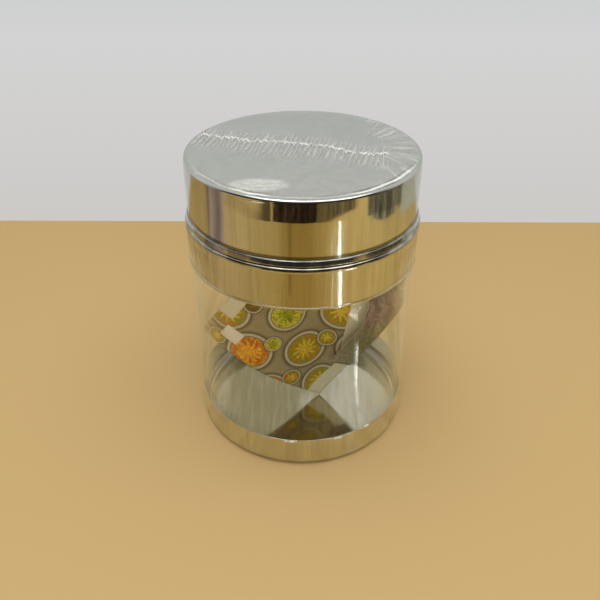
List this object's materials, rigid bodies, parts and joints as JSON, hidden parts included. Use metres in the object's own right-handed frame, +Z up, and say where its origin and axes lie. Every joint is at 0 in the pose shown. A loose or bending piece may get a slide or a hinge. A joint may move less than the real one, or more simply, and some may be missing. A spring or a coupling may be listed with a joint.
{
  "type": "storage canister",
  "caption": "Round see-through canister: steel push-on lid, neck collar and base cup, a clear window tube, a folded leaflet inside, and clear shrink film over all.",
  "frame": {"origin": "centre of the base cup's flat underside, on the surface that the canister stands on", "axes": "+Z up along the canister's axis; -Y towards the front, where the leaflet's printed face looks"},
  "size_m": [0.1068, 0.1068, 0.1405],
  "materials": {
    "base_steel": "mirror polished stainless steel",
    "collar_steel": "mirror polished stainless steel",
    "lid_steel": "mirror polished stainless steel",
    "tube_plastic": "clear, glossy, see-through",
    "seal_rubber": "soft, matt, pale grey",
    "leaflet_paper": "printed coated paper, satin",
    "sticker_paper": "blank white label, satin",
    "body_film_plastic": "clear shrink film, glossy",
    "lid_film_plastic": "clear shrink film, glossy, with a crimped weld"
  },
  "bodies": {
    "canister": {"base_cup": "base_steel", "tube_bottom_seal": "seal_rubber", "clear_tube": "tube_plastic", "tube_top_seal": "seal_rubber", "neck_collar": "collar_steel", "leaflet": "leaflet_paper", "leaflet_sticker": "sticker_paper", "body_film": "body_film_plastic"},
    "lid": {"lid_cap": "lid_steel", "lid_film": "lid_film_plastic"}
  },
  "joints": [
    {"name": "lid_lift", "type": "slide", "parent": "canister", "child": "lid", "axis": [0, 0, 1], "range_m": [0, 0.06]}
  ]
}
